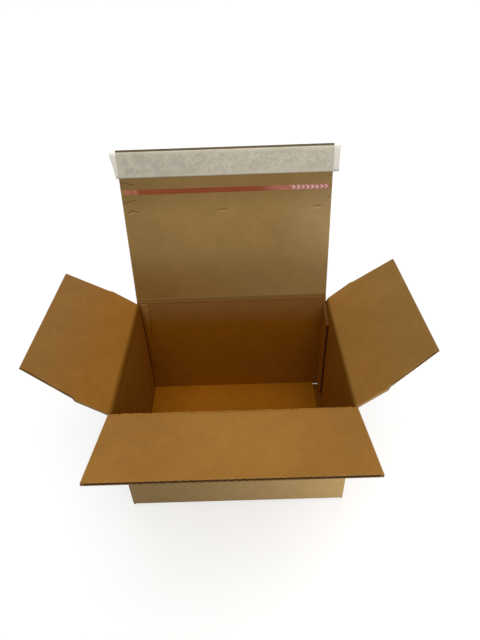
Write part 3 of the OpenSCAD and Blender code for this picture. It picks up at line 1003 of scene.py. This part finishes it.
def ridge_reach(z):
    for (z_low, reach_low), (z_high, reach_high) in zip(RIDGE, RIDGE[1:]):
        if z <= z_high:
            share = (z - z_low) / (z_high - z_low)
            return reach_low + (reach_high - reach_low) * share * share * (3 - 2 * share)
    return RIDGE[-1][1]


def corner_ridge(name, stations=52):
    draw = random.Random(21)
    bm = bmesh.new()
    uv = bm.loops.layers.uv.new("hump")
    rings = []
    for s in range(stations + 1):
        z = RIDGE[0][0] + (RIDGE[-1][0] - RIDGE[0][0]) * s / stations
        reach = ridge_reach(z) + draw.gauss(0, RIDGE_ROUGH)
        below_flap = max((FLAP_UNDERSIDE - z) / RIDGE_SOFT, 0.0) + FLAT_SHARE
        lift = RIDGE_LIFT * min(reach / RIDGE_SOFT, below_flap, 1.0)
        front = [(WALL_X + reach * across, WALL_Y - lift * height, z) for across, height in HUMP]
        back = [(WALL_X + reach * share, WALL_Y + RIDGE_BEDDED, z) for share in (HUMP[-1][0], 0.0)]
        rings.append([bm.verts.new(point) for point in front + back])
    count = len(rings[0])
    shares = [across for across, height in HUMP] + [HUMP[-1][0], 0.0]
    for low, high in zip(rings, rings[1:]):
        for k in range(count):
            nxt = (k + 1) % count
            face = bm.faces.new((low[k], low[nxt], high[nxt], high[k]))
            face.smooth = k < count - 3
            for loop, share in zip(face.loops, (shares[k], shares[nxt], shares[nxt], shares[k])):
                loop[uv].uv = (share, loop.vert.co.z)
    for row in (rings[0], rings[-1]):
        bm.faces.new(row)
    piece = add_piece(name, bm)
    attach(piece, "box")
    return piece


ridge = corner_ridge("corner_ridge")

# %% Finish the ridge
material, tree, shader = start_material("kraft_ridge")
coords = tree.nodes.new("ShaderNodeTexCoord").outputs
x, y, z = split(tree, coords["Object"])
board = join(tree, x, z)
wave = calc(tree, "MULTIPLY_ADD", noise(tree, board, 120.0, detail=3.0), 0.0016, x)
inner = blend_colour(tree, step(tree, z, RIM_LOW, RIM_HIGH), SHADED_INNER_KRAFT, RIM_PAINTED_LIGHT)
uv = tree.nodes.new("ShaderNodeUVMap")
uv.uv_map = "hump"
hump = split(tree, uv.outputs[0])[0]
# Painted light and shade on the ridge: the crest gets a painted highlight and the lee side beyond it painted
# shade.
CREST, LEE, SPREAD = 0.90, 1.16, 0.16
crest = step(tree, size_of(tree, minus(tree, hump, CREST)), SPREAD, 0.0, 1.0, 1.22)
lee = step(tree, size_of(tree, minus(tree, hump, LEE)), SPREAD, 0.0, 1.0, 0.78)
inner = brightened(tree, inner, times(tree, crest, lee))
# A wandering strip where the ridge meets the left wall takes the dark edge tone: a painted shade line in the
# corner.
height = kraft_finish(tree, shader, board, 0.0, step(tree, wave, WALL_X + 0.0022, WALL_X + 0.0012),
                      inner, OUTER_KRAFT, SHADED_EDGE)
shader.inputs["Specular IOR Level"].default_value = WALL_GLOSS
add_relief(tree, shader, height)
ridge.data.materials.append(material)
print("ridge dressed, with a dark line where it meets the left wall")

# %% [markdown]
# ## The adhesive and its release paper
# The box is shut with a strip of hot-melt adhesive, which is kept from sticking by a siliconed paper. The
# adhesive is thick in some places and thin in others, and the paper clings to it, so the strip looks
# blotched and grey where it sticks and plain cream where it doesn't. It is a little darker to the left and
# brighter to the right, painted light from the right. The paper's two ends are left long, to be pulled.
# They are made apart from the strip, because they give way when the lid is shut.

# %% A thin sheet with both faces and its edges
def paper_sheet(name, rows, inward, thickness):
    bm = bmesh.new()
    top = [[bm.verts.new(point) for point in row] for row in rows]
    under = [[bm.verts.new(point - inward * thickness) for point in row] for row in rows]
    last_row, last = len(rows) - 1, len(rows[0]) - 1
    for r in range(last_row):
        for c in range(last):
            bm.faces.new((top[r][c], top[r][c + 1], top[r + 1][c + 1], top[r + 1][c])).smooth = True
            bm.faces.new((under[r][c], under[r + 1][c], under[r + 1][c + 1], under[r][c + 1])).smooth = True
    for r in range(last_row):
        for c in (0, last):
            bm.faces.new((top[r][c], top[r + 1][c], under[r + 1][c], under[r][c]))
    for c in range(last):
        for r in (0, last_row):
            bm.faces.new((top[r][c], top[r][c + 1], under[r][c + 1], under[r][c]))
    piece = add_piece(name, bm)
    return piece


# %% Lay the release paper on the adhesive
LINER_LOW, LINER_HIGH = LID_L - 0.032, LID_L - 0.002
GLUE_MARGIN = 0.0025
LINER_T = 0.0002
GLUE_TOP = BOARD + 0.00015
LINER_GAP = 0.00003
LINER_RIPPLE = 0.00006
lid = flap_frames["lid"]
half_lid = lid["width"] / 2


def liner_height(a, l):
    from_edge = min(l - LINER_LOW, LINER_HIGH - l)
    share = min(max(from_edge / GLUE_MARGIN, 0), 1)
    seat = BOARD + LINER_GAP + (GLUE_TOP - BOARD) * share * share * (3 - 2 * share)
    ripple = LINER_RIPPLE * (1 + math.sin(a * 410 + 3 * math.sin(l * 190))) * (0.4 + share)
    return seat + ripple + LINER_T


columns = [-half_lid + 2 * half_lid * c / 160 for c in range(161)]
rows = [LINER_LOW + (LINER_HIGH - LINER_LOW) * r / 20 for r in range(21)]
surface = [[on_flap("lid", a, l, liner_height(a, l)) for a in columns] for l in rows]
liner = paper_sheet("release_paper", surface, lid["inward"], LINER_T)
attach(liner, "lid")
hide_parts("release_liner")

# %% [markdown]
# The right tail is square and about 7 mm long, and curls back a little. The left one was torn off at a slant,
# so it is longer at the top than at the bottom.

# %% Add the loose tails
def tail(name, side, reach_low, reach_high, curl, steps=8):
    grid = []
    for r in range(steps + 1):
        l = LINER_LOW + (LINER_HIGH - LINER_LOW) * r / steps
        reach = reach_low + (reach_high - reach_low) * r / steps
        line = []
        for c in range(steps + 1):
            out = reach * c / steps
            depth = liner_height(side * half_lid, l) - curl * (c / steps) ** 2
            line.append(on_flap("lid", side * (half_lid + out), l, depth))
        grid.append(line)
    piece = paper_sheet(name, grid, lid["inward"], LINER_T)
    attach(piece, "lid")
    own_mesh(piece)
    return piece


right_tail = tail("right_tail", 1, 0.0072, 0.0075, 0.0010)
left_tail = tail("left_tail", -1, 0.0032, 0.0078, 0.0006)

# %% Group: blotched paper
blotches, start, end = new_group(
    "blotched_paper", [("Board", "Vector", None), ("Middle", "Float", 0.5), ("Half Strip", "Float", 0.012),
                       ("Left End", "Float", -1.0)],
    [("Stuck", "Float"), ("Vein", "Float")])
across_board, along_board = split(blotches, start["Board"])[:2]
from_middle = size_of(blotches, minus(blotches, along_board, start["Middle"]))
SOFT_BORDER = 0.004
within = step(blotches, from_middle, start["Half Strip"],
              minus(blotches, start["Half Strip"], SOFT_BORDER))
past_left = step(blotches, across_board, start["Left End"],
                 plus(blotches, start["Left End"], SOFT_BORDER))
within = times(blotches, within, past_left)
worm = noise(blotches, start["Board"], 165.0, detail=5.0, roughness=0.65, distortion=1.2)
feed(blotches, end["Stuck"], times(blotches, within, step(blotches, worm, 0.36, 0.62)))
fine = noise(blotches, start["Board"], 520.0, detail=3.0, roughness=0.6, distortion=1.5)
feed(blotches, end["Vein"], times(blotches, within, step(blotches, fine, 0.5, 0.66)))
print("group", blotches.name, "with", len(blotches.nodes), "nodes")


# %% Finish the release paper
STUCK_PAPER = (0.48, 0.45, 0.375)
VEIN_PAPER = (0.80, 0.77, 0.66)


def release_material(name, sticking, thin, thick, light_slope=0.0):
    material, tree, shader = start_material(name)
    place = lay_on_flap(tree, "lid")
    masks = place_group(tree, blotches, board=place["Board"], middle=(LINER_LOW + LINER_HIGH) / 2,
                        half_strip=0.0135, left_end=-half_lid + 0.005)
    soft = noise(tree, place["Board"], 60.0, detail=3.0)
    paper = blend_colour(tree, step(tree, soft, 0.3, 0.7), thin, thick)
    stuck = blend_colour(tree, times(tree, masks["Stuck"], sticking), paper, STUCK_PAPER)
    veined = blend_colour(tree, times(tree, masks["Vein"], sticking * 0.25), stuck, VEIN_PAPER)
    # Painted light: the paper is darker to the left and brighter to the right, standing in for light from the
    # right.
    painted_side_light = step(tree, split(tree, place["Board"])[0], -half_lid, half_lid, 1.0 - light_slope, 1.0 + light_slope)
    tree.links.new(brightened(tree, veined, painted_side_light), shader.inputs["Base Color"])
    tree.links.new(step(tree, masks["Stuck"], 0.0, 1.0, 0.55, 0.40), shader.inputs["Roughness"])
    shader.inputs["Specular IOR Level"].default_value = 0.4
    relief = plus(tree, times(tree, masks["Stuck"], 0.00012 * sticking),
                  times(tree, soft, 0.0001))
    add_relief(tree, shader, relief)
    return material


stuck_paper = release_material("release_paper", 0.65, (0.67, 0.625, 0.50), (0.75, 0.705, 0.58), light_slope=0.07)
liner.data.materials.append(stuck_paper)
loose_paper = release_material("loose_release_paper", 0.0, (0.95, 0.93, 0.82), (0.98, 0.965, 0.87))
right_tail.data.materials.append(loose_paper)
left_tail.data.materials.append(loose_paper)
print("release paper blotched over the adhesive and brighter to the right, plain on the tails")

# %% [markdown]
# The adhesive itself is clear and slightly yellow. Little of it is seen while its paper is on, only its edge.

# %% Finish the adhesive
material, tree, shader = start_material("clear_adhesive")
coords = tree.nodes.new("ShaderNodeTexCoord").outputs
beads = noise(tree, coords["Object"], 300.0, detail=3.0)
tone = blend_colour(tree, step(tree, beads, 0.35, 0.65), (0.50, 0.42, 0.26), (0.66, 0.60, 0.44))
tree.links.new(tone, shader.inputs["Base Color"])
tree.links.new(step(tree, beads, 0.3, 0.7, 0.18, 0.4), shader.inputs["Roughness"])
add_relief(tree, shader, times(tree, beads, 0.0001))
dress("adhesive_strip", material)

# %% [markdown]
# ## The tear tape
# A red plastic tape runs across the lid and is pulled to open the box. Where it clings badly it looks pale,
# as at its ends. Plain arrow marks are printed at the right end, to show which way it tears. At both ends
# the print stops a little short, and the clear film shows the board under it.

# %% Finish the tear tape
TAPE_MIDDLE = LID_L - 0.049
MARKS_FROM, MARKS_TO = 0.080, 0.1255
MARK_PITCH, MARK_GAP, MARK_SLANT, MARK_HALF_HEIGHT = 0.0056, 0.55, 0.9, 0.0021
material, tree, shader = start_material("red_tear_tape")
place = lay_on_flap(tree, "lid")
across_board, along_board = split(tree, place["Board"])[:2]
fine = noise(tree, vector_calc(tree, "MULTIPLY", place["Board"], (0.2, 1.0, 1.0)), 500.0, detail=3.0)
red = blend_colour(tree, step(tree, fine, 0.3, 0.7), (0.30, 0.068, 0.024), (0.36, 0.092, 0.034))
loose_left = step(tree, calc(tree, "MULTIPLY_ADD", fine, 0.004, across_board), -0.1035, -0.1070)
blots = step(tree, noise(tree, place["Board"], 230.0, detail=3.0), 0.35, 0.65, 0.55, 1.0)
paled = blend_colour(tree, times(tree, loose_left, blots), red, (0.545, 0.225, 0.133))
loose_right = step(tree, across_board, 0.030, 0.080)
paled = blend_colour(tree, times(tree, loose_right, times(tree, blots, 0.85)),
                     paled, (0.68, 0.29, 0.23))
from_middle = size_of(tree, minus(tree, along_board, TAPE_MIDDLE))
mark_x = plus(tree, across_board, times(tree, from_middle, MARK_SLANT))
bar = calc(tree, "GREATER_THAN", calc(tree, "FRACT", calc(tree, "DIVIDE", mark_x, MARK_PITCH)), MARK_GAP)
in_band = times(tree, calc(tree, "LESS_THAN", from_middle, MARK_HALF_HEIGHT),
                calc(tree, "GREATER_THAN", across_board, MARKS_FROM))
in_band = times(tree, in_band, calc(tree, "LESS_THAN", across_board, MARKS_TO))
printed = times(tree, bar, in_band)
marked = blend_colour(tree, times(tree, printed, blots), paled, (0.95, 0.71, 0.70))
ragged_end = calc(tree, "MULTIPLY_ADD", fine, 0.002, size_of(tree, across_board))
bare = blend_colour(tree, step(tree, ragged_end, half_lid - 0.0032, half_lid - 0.0026), marked,
                    FLAP_TONES_WITH_PAINTED_LIGHT["lid"][0])
tree.links.new(bare, shader.inputs["Base Color"])
tree.links.new(step(tree, fine, 0.3, 0.7, 0.45, 0.60), shader.inputs["Roughness"])
shader.inputs["Specular IOR Level"].default_value = 0.12
add_relief(tree, shader, times(tree, fine, 0.00006))
dress("tear_tape", material)
